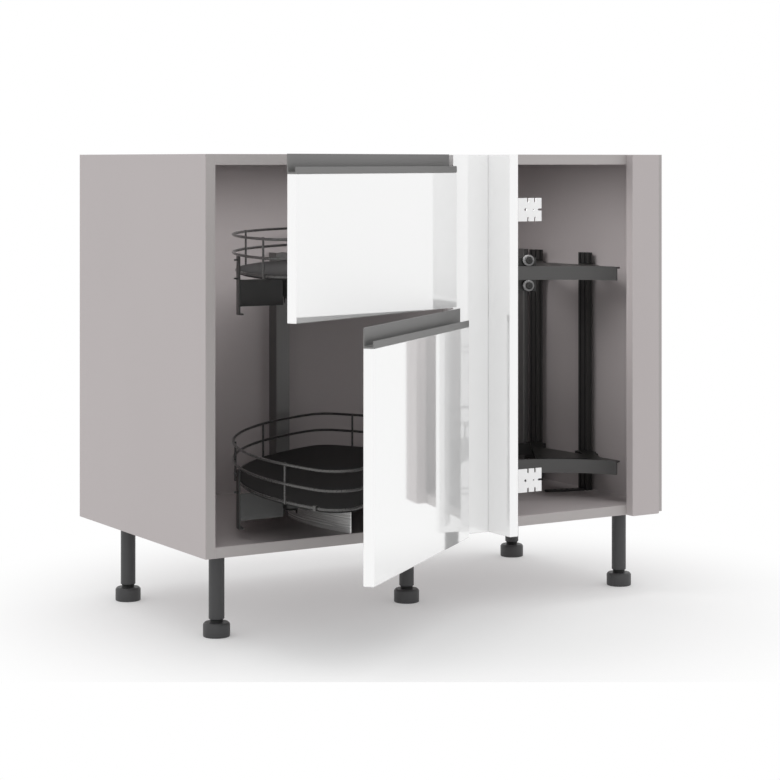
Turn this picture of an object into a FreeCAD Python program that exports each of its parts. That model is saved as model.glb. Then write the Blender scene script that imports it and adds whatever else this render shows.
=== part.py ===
import FreeCAD, Part
import os
from math import asin, atan2, cos, degrees, hypot, radians, sin, sqrt

# Corner base cabinet with two split doors and two half-round carousel trays.
# Millimetres, +Z up. Work frame: X right, Y to the back, Z up from the carcass
# underside, origin at the carcass's front left bottom corner.
# On export everything moves so that the origin is the sole of the middle leg.

# ---- carcass ----
WIDTH = 1000.0
DEPTH = 540.0
HEIGHT = 700.0
BOARD = 19.0
BACK_T = 6.0
REBATE = 8.0
STILE_RIGHT = 500.0
STILE_W = 145.0

# ---- legs ----
LEG_H = 150.0
LEG_INSET = 55.0
LEG_FRONT = 66.0
LEG_REAR = 103.0
MID_LEG_FRONT = 146.0
TUBE_R = 14.0
TUBE_WALL = 2.0
FLANGE_R = 23.0
FLANGE_T = 4.0
FOOT_R = 24.0
FOOT_H = 25.0
FOOT_BEVEL = 3.0
NECK_SHOW = 6.0
NECK_CLEAR = 0.1
NECK_GRIP = 22.0

# ---- fronts ----
FRONT_T = 19.0
FRONT_STANDOFF = 2.0
EDGE_ROUND = 1.0
DOOR_REVEAL = 2.0
DOOR_TO_FILLER = 3.0
FILLER_W = 77.5
CORNER_RIGHT = 425.5
RETURN_D = 89.0
END_FILLER_W = 65.0
END_FILLER_EDGE = 23.0
SPLIT_Z = 419.2
SPLIT_GAP = 1.6

# ---- handle profile ----
HANDLE_H = 33.0
HANDLE_LIP = 11.5
HANDLE_T = 2.0
TONGUE_T = 3.0
TONGUE_H = 12.0
TONGUE_CLEAR = 0.1
TONGUE_SIDE = 40.0
TROUGH_ROUND = 1.8

# ---- filler brackets ----
BRACKET_IN = 13.0
BRACKET_W = 199.0
BRACKET_H = 44.0
BRACKET_DROP = 104.0
BRACKET_RISE = 85.0
NOTCH_R = 1.9
NOTCH_DEPTH = 6.5
NOTCH_END = 30.0
NOTCH_PITCH = 16.0
BRACKET_HOLE_R = 2.6
BRACKET_HOLE_IN = 37.0
PILOT_HOLE_R = 1.612
PILOT_HOLE_IN = 18.0

# ---- door swing ----
HINGE_OUT = {"upper": 31.0, "lower": 58.0}
HINGE_Y = {"upper": -22.0, "lower": -18.0}
DOOR_REST = {"upper": 24.23, "lower": 38.24}
CUP_RISE = {"upper": 80.0, "lower": 60.0}
CUP_DROP = {"upper": 80.0, "lower": 88.4}
CUP_R = 17.5
CUP_DEPTH = 12.5
CUP_WALL = 1.0
CUP_CLEAR = 0.1
CUP_EDGE = 22.5
CUP_RIM = 3.0
CUP_RIM_T = 0.8
LINK_R = {"upper": 47.5, "lower": 72.5}
LINK_W = {"upper": 8.0, "lower": 9.0}
LINK_FROM = {"upper": 127.0, "lower": 124.0}
LINK_TO = {"upper": 170.0, "lower": 176.5}
LINK_T = 2.0
LINK_GAP = 0.3
LINK_ROOT_W = 12.0
LINK_ROOT_H = 4.0
ARM_T = 8.0
ARM_DEPTH = 8.0
ARM_LIMB_OUT = 22.0
ARM_LIMB_W = 7.0
ARM_TIP_Y = -6.0
ARM_END_IN = 40.0
ARM_HEEL = 4.0
ARM_TIP_CHAMFER = 3.0
PLATE_IN = 5.0
PLATE_W = 40.0
PLATE_H = 28.0
PLATE_T = 3.0
PLATE_ROUND = 5.0

# ---- tray pivot and curved rails ----
PIVOT_RIGHT = 300.0
PIVOT_Y = -88.0
PITCH = 380.0
RAIL_R = 243.0
RAIL_T = 4.0
RAIL_H = 27.0
RAIL_TOP = 101.0
RAIL_FROM = 29.0
RAIL_TO = 147.5
LUG_W = 20.0
LUG_L = 80.0
LUG_H = 17.0

# ---- trays ----
TRAY_FOLLOW = {"upper": 0.87, "lower": 0.95}
TRAY_SIDE_GAP = 75.5
TRAY_WALL_GAP = 16.5
TRAY_T = 8.0
TRAY_OVER_RAIL = 1.5
TRAY_INNER_R = 262.0
TRAY_FRONT_Y = 113.0
TRAY_BACK_RIGHT = 150.0
TRAY_BACK_Y = 125.0
TRAY_BACK_RUN = 40.0
TRAY_BACK_RISE = 371.0
TRAY_OUTER_ROUND = 35.0
TRAY_INNER_ROUND = 20.0
RAIL_WIRE_R = 2.5
POST_WIRE_R = 2.0
BASKET_OUT = 8.5
BASKET_TOP = 65.0
BASKET_MID = 32.0
BASKET_END = 45.0
BASKET_TURN = 6.0
POST_WIRE_STAND = 3.2
UPRIGHT_FIRST = {"upper": 116.5, "lower": 91.7}
UPRIGHT_STEP = {"upper": 38.0, "lower": 27.5}
UPRIGHT_COUNT = {"upper": 2, "lower": 3}
BACK_UPRIGHT = 37.1444
CLIP_BEFORE_CORNER = 9.0
CLIP_W = 7.0
CLIP_T = 4.0
CLIP_GAP = 0.4

# ---- carriages and rollers ----
CARRIAGE_R = 250.0
CARRIAGE_T = 3.0
CARRIAGE_FLANGE = 22.0
CARRIAGE_TRAIL = 49.7
CARRIAGE_LEAD = 59.7
CARRIAGE_LAP = 4.0
ROLLER_R = 11.0
ROLLER_W = 8.0
ROLLER_CLEAR = 0.3
ROLLER_BORE_CLEAR = 0.05
ROLLER_CHAMFER = 1.0
TREAD_SEAM = 1.2
PIN_R = 4.0
PIN_HEAD_R = 7.0
PIN_HEAD_T = 3.0
PIN_SHOULDER = 2.6

# ---- rail plates ----
PLATE_SHEET = 3.0
PLATE_BELOW_RAIL = 1.0
PLATE_JOIN_TO = 44.0
PLATE_INNER_R = 264.0
PLATE_INNER_TO = 66.0
PLATE_FRONT_RIGHT = 74.0
PLATE_FRONT_Y = 38.0
PLATE_BACK_RIGHT = 88.0
PLATE_BACK_Y = 277.0
PLATE_LEFT_RIGHT = 107.0
PLATE_LEFT_Y = 290.0
STRAP_W = 25.0
STRAP_RIGHT = 92.0
STRAP_Y = 96.0
ARM_LAP = 0.2

# ---- posts ----
POST_OVER_RAIL = 21.0
POST_W = 13.0
POST_D = 30.0
POST_WALL = 2.5
POST_SLOT = 5.0
FRONT_POST_RIGHT = 42.5
FRONT_POST_Y = 187.0
REAR_POST_RIGHT = 48.0
REAR_POST_BACK = 188.0
PLATE_POST_BACK = 137.0
PLATE_POST_ROUND = 2.0
BEAM_POST_RIGHT = 587.0
BEAM_POST_W = 30.0
BEAM_POST_D = 31.0
CLAMP_WALL = 6.0
CLAMP_H = 34.0
FRONT_CLAMP_H = 12.0
CLAMP_ROUND = 3.6
FOOT_STRIP_T = 3.0
FOOT_STRIP_W = 22.0
FOOT_STRIP_OUT = 69.84
FOOT_STRIP_BACK = 17.28
FOOT_HOLE_COUNT = 4
FOOT_HOLE_R = 3.2
FOOT_HOLE_FROM = 0.3
FOOT_HOLE_STEP = 0.18
TIE_H = 25.0
TIE_T = 5.0
TIE_IN = 10.0
TIE_OVERRUN = 12.0

# ---- rim guides, cross plates, hubs and beams ----
GUIDE_X = 102.0
GUIDE_Y = 73.0
GUIDE_W = 20.0
GUIDE_OUT = 4.5
GUIDE_T = 3.0
GUIDE_BELOW_RAIL = 64.0
GUIDE_OVER_RAIL = 37.5
GUIDE_TAB_DOWN = 5.0
GUIDE_TAB_PITCH = 33.0
GUIDE_TABS_PER_W = 3.0
GUIDE_TAB_H = 3.0
GUIDE_TAB_L = 6.0
GUIDE_HOOK = 6.0
CROSS_T = 3.0
CROSS_Y = 65.0
CROSS_TOP_DROP = 4.0
CROSS_H = 47.5
CROSS_LIP = 9.0
HUB_X = 204.0
HUB_R = 16.0
HUB_BELOW = 40.0
HUB_CHAMFER = 4.0
GLIDE_R = 12.0
GLIDE_CLEAR = 0.4
GLIDE_T = 3.0
GLIDE_CHAMFER = 1.5
BEAM_W = 25.0
BEAM_H = 40.0
BEAM_WALL = 2.5
BEAM_DROP = 9.0
BEAM_OVERRUN = 20.0
CORE_PAST_X = 1.0
CORE_PAST_Y = 2.0
BAND_X0 = 289.0
BAND_Y0 = 226.0
BAND_X1 = 292.0
BAND_Y1 = 2.0
BAND_BOW = 14.0
BAND_T = 3.0
BAND_TOP = 66.0

# ---- clearances and cutter overrun ----
SEAT_GAP = 0.3
PAST = 1.0

LEVELS = ("lower", "upper")
V = FreeCAD.Vector
UP = V(0, 0, 1)
PIVOT_X = WIDTH - PIVOT_RIGHT
PIVOT = V(PIVOT_X, PIVOT_Y, 0)
STILE_X = WIDTH - STILE_RIGHT
CORNER_X = WIDTH - CORNER_RIGHT
FILLER_X = CORNER_X - FILLER_W
DOOR_X0 = DOOR_REVEAL
DOOR_X1 = FILLER_X - DOOR_TO_FILLER
CUP_X = DOOR_X1 - CUP_EDGE
HINGE_X = {level: DOOR_X1 + HINGE_OUT[level] for level in LEVELS}
FRONT_Y = -FRONT_STANDOFF - FRONT_T
BACK_Y = -FRONT_STANDOFF
DOOR_BASE = {"lower": 0.0, "upper": SPLIT_Z + SPLIT_GAP / 2}
DOOR_TOP = {"lower": SPLIT_Z - SPLIT_GAP / 2, "upper": HEIGHT}
LIFT = {"lower": 0.0, "upper": PITCH}
CUP_Z = {level: (DOOR_BASE[level] + CUP_RISE[level], DOOR_TOP[level] - CUP_DROP[level])
         for level in LEVELS}
BRACKET_Z = {"lower": BRACKET_RISE, "upper": HEIGHT - BRACKET_DROP}
WALL_Y = DEPTH - BACK_T
TRAY_R = min(PIVOT_X - BOARD - TRAY_SIDE_GAP, WALL_Y - PIVOT_Y - TRAY_WALL_GAP)
BACK_START = V(WIDTH - TRAY_BACK_RIGHT, TRAY_BACK_Y, 0)
BACK_ALONG = V(TRAY_BACK_RUN, TRAY_BACK_RISE, 0).normalize()
BACK_INSIDE = V(-BACK_ALONG.y, BACK_ALONG.x, 0)
BACK_FACING = degrees(atan2(-BACK_INSIDE.y, -BACK_INSIDE.x))
POST_TOP = RAIL_TOP + PITCH + POST_OVER_RAIL
FRONT_POST_X = WIDTH - FRONT_POST_RIGHT
REAR_POST_X = WIDTH - REAR_POST_RIGHT
REAR_POST_Y = DEPTH - REAR_POST_BACK
PLATE_POST_Y = DEPTH - PLATE_POST_BACK
BEAM_POST_X = WIDTH - BEAM_POST_RIGHT
BEAM_POST_Y = WALL_Y - BEAM_POST_D
SHIFT = V(-WIDTH / 2, -MID_LEG_FRONT, LEG_H)


def block(x0, x1, y0, y1, z0, z1):
    return Part.makeBox(x1 - x0, y1 - y0, z1 - z0, V(x0, y0, z0))


def line(p, q):
    return Part.LineSegment(p, q).toShape()


def polar(centre, r, angle):
    a = radians(angle)
    return V(centre.x + r * cos(a), centre.y + r * sin(a), centre.z)


def arc(centre, r, a0, a1):
    mid = polar(centre, r, (a0 + a1) / 2)
    return Part.Arc(polar(centre, r, a0), mid, polar(centre, r, a1)).toShape()


def angle_of(centre, p):
    return degrees(atan2(p.y - centre.y, p.x - centre.x))


def prism(edges, z0, z1):
    solid = Part.Face(Part.Wire(edges)).extrude(V(0, 0, z1 - z0))
    solid.translate(V(0, 0, z0))
    return solid


def prism_points(points, z0, z1):
    corners = [V(x, y, z0) for x, y in points]
    face = Part.Face(Part.makePolygon(corners + corners[:1]))
    return face.extrude(V(0, 0, z1 - z0))


def along_x(points, x0, x1):
    corners = [V(x0, y, z) for y, z in points]
    face = Part.Face(Part.makePolygon(corners + corners[:1]))
    return face.extrude(V(x1 - x0, 0, 0))


def sector(centre, r0, r1, a0, a1, z0, z1):
    base = V(centre.x, centre.y, 0)
    edges = [
        arc(base, r1, a0, a1),
        line(polar(base, r1, a1), polar(base, r0, a1)),
        arc(base, r0, a1, a0),
        line(polar(base, r0, a0), polar(base, r1, a0)),
    ]
    return prism(edges, z0, z1)


def turned(points, x, y, z):
    corners = [V(r, 0, h) for r, h in points]
    face = Part.Face(Part.makePolygon(corners + corners[:1]))
    solid = face.revolve(V(0, 0, 0), UP, 360)
    solid.translate(V(x, y, z))
    return solid


def strip(p, q, width, z0, z1):
    along = V(q.x - p.x, q.y - p.y, 0)
    along.normalize()
    side = V(-along.y, along.x, 0) * (width / 2)
    points = [p + side, p - side, q - side, q + side]
    return prism_points([(c.x, c.y) for c in points], z0, z1)


def fuse(shapes):
    whole = shapes[0]
    for shape in shapes[1:]:
        whole = whole.fuse(shape)
    return whole.removeSplitter()


def cut(shape, tools):
    for tool in tools:
        shape = shape.cut(tool)
    return shape


def swing(shape, centre, angle):
    shape.rotate(V(centre.x, centre.y, 0), UP, angle)
    return shape


def export(name, *shapes):
    whole = Part.makeCompound(list(shapes)) if len(shapes) > 1 else shapes[0].copy()
    whole.translate(SHIFT)
    whole.exportStep("parts/" + name + ".step")


# ---- carcass panels ----
def side_profile(mirror):
    inner = BOARD - REBATE
    points = [
        (0, 0),
        (BOARD, 0),
        (BOARD, DEPTH - BACK_T),
        (inner, DEPTH - BACK_T),
        (inner, DEPTH),
        (0, DEPTH),
    ]
    if mirror:
        return [(WIDTH - x, y) for x, y in points]
    return points


def level_profile(mirror):
    inner = BOARD - REBATE
    points = [
        (0, 0),
        (DEPTH, 0),
        (DEPTH, inner),
        (DEPTH - BACK_T, inner),
        (DEPTH - BACK_T, BOARD),
        (0, BOARD),
    ]
    if mirror:
        return [(y, HEIGHT - z) for y, z in points]
    return points


def make_carcass():
    export("left_side_panel", prism_points(side_profile(False), 0, HEIGHT))
    export("right_side_panel", prism_points(side_profile(True), 0, HEIGHT))
    export("bottom_panel", along_x(level_profile(False), BOARD, WIDTH - BOARD))
    export("top_panel", along_x(level_profile(True), BOARD, WIDTH - BOARD))
    edge = BOARD - REBATE
    back = block(edge, WIDTH - edge, DEPTH - BACK_T, DEPTH, edge, HEIGHT - edge)
    export("back_panel", back)
    stile = block(STILE_X, STILE_X + STILE_W, 0, BOARD, BOARD, HEIGHT - BOARD)
    upright = [e for e in stile.Edges if abs(e.tangentAt(0).z) > 0.9]
    export("centre_stile", stile.makeChamfer(EDGE_ROUND, upright))


# ---- fixed fronts ----
def front_board(x0, x1, y0, y1, z0, z1):
    board = block(x0, x1, y0, y1, z0, z1)
    return board.makeChamfer(EDGE_ROUND, board.Edges)


def bracket(level):
    z = BRACKET_Z[level]
    x0 = FILLER_X + BRACKET_IN
    x1 = x0 + BRACKET_W
    plate = block(x0, x1, BACK_Y, 0, z - BRACKET_H / 2, z + BRACKET_H / 2)
    tools = []
    drill = V(0, 1, 0)
    reach = FRONT_STANDOFF + 2 * PAST
    for column in (0, 1):
        x = x1 - NOTCH_END / 2 + (column - 1) * NOTCH_PITCH
        for sign in (-1, 1):
            edge = z + sign * BRACKET_H / 2
            deep = edge - sign * NOTCH_DEPTH
            low = min(edge, deep)
            high = max(edge, deep)
            slot = block(x - NOTCH_R, x + NOTCH_R, BACK_Y - PAST, PAST, low, high)
            tools.append(slot)
            tools.append(Part.makeCylinder(NOTCH_R, reach, V(x, BACK_Y - PAST, deep), drill))
    deep = x1 - NOTCH_DEPTH
    tools.append(block(deep, x1, BACK_Y - PAST, PAST, z - NOTCH_R, z + NOTCH_R))
    tools.append(Part.makeCylinder(NOTCH_R, reach, V(deep, BACK_Y - PAST, z), drill))
    for x, r in ((x1 - BRACKET_HOLE_IN, BRACKET_HOLE_R), (x1 - PILOT_HOLE_IN, PILOT_HOLE_R)):
        tools.append(Part.makeCylinder(r, reach, V(x, BACK_Y - PAST, z), drill))
    return cut(plate, tools)


def make_fillers():
    front = front_board(FILLER_X, CORNER_X, FRONT_Y, BACK_Y, 0, HEIGHT)
    export("corner_filler_front", front)
    y0 = BACK_Y - RETURN_D
    side = front_board(CORNER_X, CORNER_X + FRONT_T, y0, BACK_Y, 0, HEIGHT)
    export("corner_filler_return", side)
    x1 = WIDTH - END_FILLER_EDGE
    end = front_board(x1 - END_FILLER_W, x1, FRONT_Y, 0, 0, HEIGHT)
    export("end_filler", end)
    for level in LEVELS:
        export(level + "_filler_bracket", bracket(level))


# ---- legs ----
def leg_places():
    rear = DEPTH - LEG_REAR
    right = WIDTH - LEG_INSET
    return [
        (LEG_INSET, LEG_FRONT),
        (right, LEG_FRONT),
        (LEG_INSET, rear),
        (right, rear),
        (WIDTH / 2, MID_LEG_FRONT),
    ]


def make_legs():
    bore = TUBE_R - TUBE_WALL
    neck_r = bore - NECK_CLEAR
    flange = [(0, -FLANGE_T), (FLANGE_R - EDGE_ROUND, -FLANGE_T), (FLANGE_R, EDGE_ROUND - FLANGE_T),
              (FLANGE_R, 0), (0, 0)]
    low = -LEG_H + FOOT_H + NECK_SHOW
    tube = [(bore, low), (TUBE_R, low), (TUBE_R, -FLANGE_T), (bore, -FLANGE_T)]
    top = -LEG_H + FOOT_H
    grip = low + NECK_GRIP
    foot = [(0, -LEG_H), (FOOT_R - EDGE_ROUND, -LEG_H), (FOOT_R, EDGE_ROUND - LEG_H),
            (FOOT_R, top - FOOT_BEVEL), (FOOT_R - FOOT_BEVEL, top), (neck_r, top),
            (neck_r, grip), (0, grip)]
    for name, points in (("leg_flanges", flange), ("leg_tubes", tube), ("leg_feet", foot)):
        export(name, *[turned(points, x, y, 0) for x, y in leg_places()])


# ---- doors ----
def door_panel(level):
    z0 = DOOR_BASE[level]
    z1 = DOOR_TOP[level] - HANDLE_H
    panel = front_board(DOOR_X0, DOOR_X1, FRONT_Y, BACK_Y, z0, z1)
    tools = []
    for z in CUP_Z[level]:
        mouth = V(CUP_X, BACK_Y + PAST, z)
        depth = CUP_DEPTH + CUP_CLEAR + PAST
        tools.append(Part.makeCylinder(CUP_R + CUP_CLEAR, depth, mouth, V(0, -1, 0)))
    mid = FRONT_Y + FRONT_T / 2
    half = TONGUE_T / 2 + TONGUE_CLEAR
    x0 = DOOR_X0 + TONGUE_SIDE - TONGUE_CLEAR
    x1 = DOOR_X1 - TONGUE_SIDE + TONGUE_CLEAR
    tools.append(block(x0, x1, mid - half, mid + half, z1 - TONGUE_H - TONGUE_CLEAR, z1))
    return cut(panel, tools)


def door_handle(level):
    z0 = DOOR_TOP[level] - HANDLE_H
    z1 = DOOR_TOP[level]
    inner_front = FRONT_Y + HANDLE_T
    inner_back = BACK_Y - HANDLE_T
    points = [
        (FRONT_Y, z0),
        (BACK_Y, z0),
        (BACK_Y, z1),
        (inner_back, z1),
        (inner_back, z0 + HANDLE_T),
        (inner_front, z0 + HANDLE_T),
        (inner_front, z0 + HANDLE_LIP),
        (FRONT_Y, z0 + HANDLE_LIP),
    ]
    rail = along_x(points, DOOR_X0, DOOR_X1)
    inside = [e for e in rail.Edges if is_trough(e, inner_front, inner_back, z0)]
    rail = rail.makeFillet(TROUGH_ROUND, inside)
    mid = FRONT_Y + FRONT_T / 2
    half = TONGUE_T / 2
    x0 = DOOR_X0 + TONGUE_SIDE
    x1 = DOOR_X1 - TONGUE_SIDE
    tongue = block(x0, x1, mid - half, mid + half, z0 - TONGUE_H, z0 + HANDLE_T / 2)
    return fuse([rail, tongue])


def is_trough(edge, y0, y1, z0):
    c = edge.CenterOfMass
    level = abs(c.z - z0 - HANDLE_T) < 0.01
    return level and (abs(c.y - y0) < 0.01 or abs(c.y - y1) < 0.01)


def hinge_cup(level, z):
    r = CUP_R - CUP_WALL
    low = -CUP_DEPTH
    rim = CUP_R + CUP_RIM
    points = [
        (0, low),
        (CUP_R, low),
        (CUP_R, 0),
        (rim, 0),
        (rim, CUP_RIM_T),
        (r, CUP_RIM_T),
        (r, low + CUP_WALL),
        (0, low + CUP_WALL),
    ]
    cup = turned(points, 0, 0, 0)
    cup.rotate(V(0, 0, 0), V(1, 0, 0), -90)
    cup.translate(V(CUP_X, BACK_Y, z))
    axis = V(HINGE_X[level], HINGE_Y[level], 0)
    r0 = LINK_R[level] - LINK_W[level] / 2
    r1 = LINK_R[level] + LINK_W[level] / 2
    a0 = LINK_FROM[level]
    a1 = LINK_TO[level]
    near = ARM_T / 2 + LINK_GAP
    shapes = [cup]
    for z0, z1 in ((z - near - LINK_T, z - near), (z + near, z + near + LINK_T)):
        link = sector(axis, r0, r1, a0, a1, z0, z1)
        floor = BACK_Y - CUP_DEPTH + CUP_WALL / 2
        well = block(axis.x - 2 * r1, axis.x + 2 * r1, floor, floor + 2 * r1, z0 - PAST, z1 + PAST)
        shapes.append(link.common(well))
        x0 = CUP_X - LINK_ROOT_W / 2
        root = block(x0, x0 + LINK_ROOT_W, floor, floor + LINK_ROOT_H, z0, z1)
        shapes.append(root)
    return fuse(shapes)


def hinge_arm(level, z):
    half = ARM_T / 2
    y0 = BOARD + PLATE_T
    y1 = y0 + ARM_DEPTH
    x0 = STILE_X - ARM_LIMB_OUT
    x1 = x0 + ARM_LIMB_W
    end = STILE_X + ARM_END_IN
    points = [
        (x0, ARM_TIP_Y),
        (x1, ARM_TIP_Y),
        (x1, y0),
        (end, y0),
        (end, y1 - ARM_TIP_CHAMFER),
        (end - ARM_TIP_CHAMFER, y1),
        (x0 + ARM_HEEL, y1),
        (x0, y1 - ARM_HEEL),
    ]
    arm = prism_points(points, z - half, z + half)
    px0 = STILE_X + PLATE_IN
    px1 = px0 + PLATE_W
    plate = block(px0, px1, BOARD, y0, z - PLATE_H / 2, z + PLATE_H / 2)
    posts = [e for e in plate.Edges if abs(e.tangentAt(0).y) > 0.9]
    plate = plate.makeFillet(PLATE_ROUND, posts)
    return fuse([arm, plate])


def make_doors():
    for level in LEVELS:
        axis = V(HINGE_X[level], HINGE_Y[level], 0)
        rest = DOOR_REST[level]
        cups = [hinge_cup(level, z) for z in CUP_Z[level]]
        export(level + "_door_panel", swing(door_panel(level), axis, rest))
        export(level + "_door_handle", swing(door_handle(level), axis, rest))
        export(level + "_hinge_cups", *[swing(c, axis, rest) for c in cups])
        export(level + "_hinge_arms", *[hinge_arm(level, z) for z in CUP_Z[level]])


# ---- tray outline ----
def front_round(r, round_r, inward):
    y = TRAY_FRONT_Y + inward + round_r
    reach = r - round_r
    return V(PIVOT_X - sqrt(reach ** 2 - (y - PIVOT_Y) ** 2), y, 0)


def inner_round():
    y = TRAY_FRONT_Y + TRAY_INNER_ROUND
    reach = TRAY_INNER_R + TRAY_INNER_ROUND
    return V(PIVOT_X - sqrt(reach ** 2 - (y - PIVOT_Y) ** 2), y, 0)


def back_round(reach, round_r):
    start = BACK_START + BACK_INSIDE * round_r
    base = start - PIVOT
    b = base.dot(BACK_ALONG)
    c = base.dot(base) - reach ** 2
    return start + BACK_ALONG * (sqrt(b * b - c) - b)


def tray_corners():
    front = front_round(TRAY_R, TRAY_OUTER_ROUND, 0)
    back = back_round(TRAY_R - TRAY_OUTER_ROUND, TRAY_OUTER_ROUND)
    inner = inner_round()
    inner_back = back_round(TRAY_INNER_R + TRAY_INNER_ROUND, TRAY_INNER_ROUND)
    return front, back, inner, inner_back


def outer_edges(out, z):
    front, back, inner, inner_back = tray_corners()
    r = TRAY_OUTER_ROUND + out
    lift = V(0, 0, z)
    tail = inner_back - BACK_INSIDE * (TRAY_INNER_ROUND + out)
    head = V(inner.x, TRAY_FRONT_Y - out, 0)
    a_back = angle_of(PIVOT, back)
    a_front = angle_of(PIVOT, front)
    bend = front + V(0, -r, 0)
    edges = [
        line(tail, polar(back, r, BACK_FACING)),
        arc(back, r, BACK_FACING, a_back),
        arc(PIVOT, TRAY_R + out, a_back, a_front),
        arc(front, r, a_front, 270),
        line(bend, head),
    ]
    for edge in edges:
        edge.translate(lift)
    return edges, tail + lift, head + lift


def tray_board(z0, z1):
    front, back, inner, inner_back = tray_corners()
    edges, tail, head = outer_edges(0, 0)
    r = TRAY_INNER_ROUND
    a_in = angle_of(inner, PIVOT)
    a_front = angle_of(PIVOT, inner)
    a_back = angle_of(PIVOT, inner_back)
    turn_back = angle_of(inner_back, PIVOT)
    edges += [
        arc(inner, r, 270, a_in + 360),
        arc(PIVOT, TRAY_INNER_R, a_front, a_back),
        arc(inner_back, r, turn_back, BACK_FACING),
    ]
    return prism(edges, z0, z1)


def wire_loop(out, z):
    edges, tail, head = outer_edges(out, z)
    tail = tail + BACK_ALONG * BASKET_END
    head = head - V(BASKET_END, 0, 0)
    edges[0] = line(tail, edges[0].Vertexes[-1].Point)
    edges[-1] = line(edges[-1].Vertexes[0].Point, head)
    path = Part.Wire(edges)
    ring = Part.Wire([Part.makeCircle(RAIL_WIRE_R, tail, BACK_ALONG)])
    return path.makePipeShell([ring], True, False), tail, head


def tray_basket(level, z0):
    top = z0 + BASKET_TOP
    mid = z0 + BASKET_MID
    base, tail, head = wire_loop(RAIL_WIRE_R + SEAT_GAP, z0)
    shapes = [base]
    for z in (top, mid):
        rail, tail, head = wire_loop(BASKET_OUT, z)
        shapes.append(rail)
    lean = (BASKET_OUT + RAIL_WIRE_R) / 2
    step_in = BASKET_OUT - lean
    front, back, inner, inner_back = tray_corners()
    feet = [
        tail + BACK_ALONG * BASKET_TURN + BACK_INSIDE * step_in,
        head + V(-BASKET_TURN, step_in, 0),
        back - BACK_ALONG * BACK_UPRIGHT - BACK_INSIDE * (TRAY_OUTER_ROUND + lean),
    ]
    for i in range(UPRIGHT_COUNT[level]):
        a = UPRIGHT_FIRST[level] + i * UPRIGHT_STEP[level]
        feet.append(polar(PIVOT, TRAY_R + lean, a))
    length = top - z0 + 2 * POST_WIRE_STAND
    for p in feet:
        foot = V(p.x, p.y, z0 - POST_WIRE_STAND)
        shapes.append(Part.makeCylinder(POST_WIRE_R, length, foot, UP))
    half = degrees(CLIP_W / TRAY_R) / 2
    a = angle_of(PIVOT, front) - degrees(CLIP_BEFORE_CORNER / TRAY_R)
    r0 = TRAY_R + CLIP_GAP
    r1 = TRAY_R + 2 * RAIL_WIRE_R + CLIP_T / 2
    reach = RAIL_WIRE_R + CLIP_T / 2
    shapes.append(sector(PIVOT, r0, r1, a - half, a + half, z0 - reach, z0 + reach))
    return fuse(shapes)


# ---- carriage and rollers ----
def roller_heights(rail_top):
    return (rail_top - RAIL_H - ROLLER_CLEAR - ROLLER_R, rail_top + ROLLER_CLEAR + ROLLER_R)


def radial(shape, angle, z):
    shape.rotate(V(0, 0, 0), V(0, 1, 0), 90)
    shape.rotate(V(0, 0, 0), UP, angle)
    shape.translate(V(PIVOT_X, PIVOT_Y, z))
    return shape


def roller_span():
    return RAIL_R - ROLLER_W / 2, RAIL_R + ROLLER_W / 2


def roller(angle, z):
    r0, r1 = roller_span()
    bore = PIN_R + ROLLER_BORE_CLEAR
    mid = (r0 + r1) / 2
    points = [
        (bore, r0),
        (ROLLER_R - ROLLER_CHAMFER, r0),
        (ROLLER_R, r0 + ROLLER_CHAMFER),
        (ROLLER_R, mid - TREAD_SEAM),
        (ROLLER_R, mid + TREAD_SEAM),
        (ROLLER_R, r1 - ROLLER_CHAMFER),
        (ROLLER_R - ROLLER_CHAMFER, r1),
        (bore, r1),
    ]
    return radial(turned(points, 0, 0, 0), angle, z)


def roller_pin(angle, z):
    r0, r1 = roller_span()
    gap = ROLLER_CLEAR
    head = r0 - gap
    shoulder = r1 + gap
    points = [
        (0, head - PIN_HEAD_T),
        (PIN_HEAD_R - EDGE_ROUND, head - PIN_HEAD_T),
        (PIN_HEAD_R, head - PIN_HEAD_T + EDGE_ROUND),
        (PIN_HEAD_R, head),
        (PIN_R, head),
        (PIN_R, shoulder),
        (PIN_R + PIN_SHOULDER, shoulder),
        (PIN_R + PIN_SHOULDER, CARRIAGE_R + CARRIAGE_T / 2),
        (0, CARRIAGE_R + CARRIAGE_T / 2),
    ]
    return radial(turned(points, 0, 0, 0), angle, z)


def carriage(rail_top, board_top):
    low, high = roller_heights(rail_top)
    a0 = CARRIAGE_TRAIL - CARRIAGE_LAP
    a1 = CARRIAGE_LEAD + CARRIAGE_LAP
    r1 = CARRIAGE_R + CARRIAGE_T
    plate = sector(PIVOT, CARRIAGE_R, r1, a0, a1, low - ROLLER_R, high + ROLLER_R / 2)
    top = board_top + CARRIAGE_T
    flange = sector(PIVOT, CARRIAGE_R, CARRIAGE_R + CARRIAGE_T + CARRIAGE_FLANGE, a0, a1,
                    board_top, top)
    pins = []
    for a in (CARRIAGE_TRAIL, CARRIAGE_LEAD):
        pins += [roller_pin(a, low), roller_pin(a, high)]
    return fuse([plate, flange] + pins)


def make_trays():
    for level in LEVELS:
        lift = LIFT[level]
        rail_top = RAIL_TOP + lift
        z0 = rail_top + TRAY_OVER_RAIL
        z1 = z0 + TRAY_T
        rest = DOOR_REST[level] * TRAY_FOLLOW[level]
        board = tray_board(z0, z1)
        export(level + "_tray_board", swing(board, PIVOT, rest))
        basket = tray_basket(level, z1 - RAIL_WIRE_R)
        export(level + "_tray_basket", swing(basket, PIVOT, rest))
        export(level + "_tray_carriage", swing(carriage(rail_top, z1), PIVOT, rest))
        low, high = roller_heights(rail_top)
        for side, a in (("trail", CARRIAGE_TRAIL), ("lead", CARRIAGE_LEAD)):
            for spot, z in (("low", low), ("high", high)):
                wheel = swing(roller(a, z), PIVOT, rest)
                export(level + "_roller_" + side + "_" + spot, wheel)


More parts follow.
